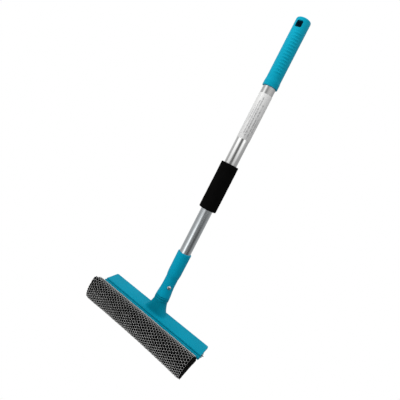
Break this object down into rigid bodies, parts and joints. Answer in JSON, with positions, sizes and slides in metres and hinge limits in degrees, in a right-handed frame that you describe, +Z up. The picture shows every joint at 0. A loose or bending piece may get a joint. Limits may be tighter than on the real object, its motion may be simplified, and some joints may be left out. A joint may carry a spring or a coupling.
{
  "type": "window cleaning squeegee",
  "caption": "Window cleaning squeegee: telescopic aluminium pole with a moulded grip, and a head with a net-covered sponge on one side and a rubber blade on the other.",
  "frame": {"origin": "centre of the hang hole near the grip's crown, on the pole's axis", "axes": "+Z up the pole towards the grip's crown, +X along the head, -Y towards the sponge side"},
  "size_m": [0.224, 0.0679, 0.5882],
  "materials": {
    "teal_plastic": "moulded satin gloss",
    "aluminium": "drawn, bright",
    "steel": "zinc plated",
    "black_foam": "matte closed-cell foam",
    "sponge_foam": "open-cell foam",
    "net_thread": "knitted net",
    "rubber": "matte",
    "label_film": "satin film",
    "white_plastic": "moulded",
    "black_plastic": "moulded"
  },
  "bodies": {
    "handle": {"hand_grip": "teal_plastic", "outer_tube": "aluminium", "tube_label": "label_film", "foam_grip": "black_foam", "tube_ferrule": "black_plastic"},
    "lock_carriage": {"lock_collet": "white_plastic"},
    "pole_and_head": {"inner_tube": "aluminium", "lock_plug": "white_plastic", "spindle_cap": "white_plastic", "pole_socket": "teal_plastic", "neck_screw": "steel", "head_body": "teal_plastic", "head_jaw": "teal_plastic", "jaw_screw_1": "steel", "jaw_screw_2": "steel", "jaw_screw_3": "steel", "jaw_screw_4": "steel", "rubber_blade": "rubber", "sponge_rail": "teal_plastic", "sponge_core": "sponge_foam", "sponge_net": "net_thread"}
  },
  "joints": [
    {"name": "telescope", "type": "slide", "parent": "handle", "child": "lock_carriage", "axis": [0, 0, -1], "range_m": [-0.084, 0.14]},
    {"name": "twist_lock", "type": "hinge", "parent": "lock_carriage", "child": "pole_and_head", "pos_m": [0, 0, -0.12], "axis": [0, 0, 1], "range_deg": [0, 270]}
  ]
}
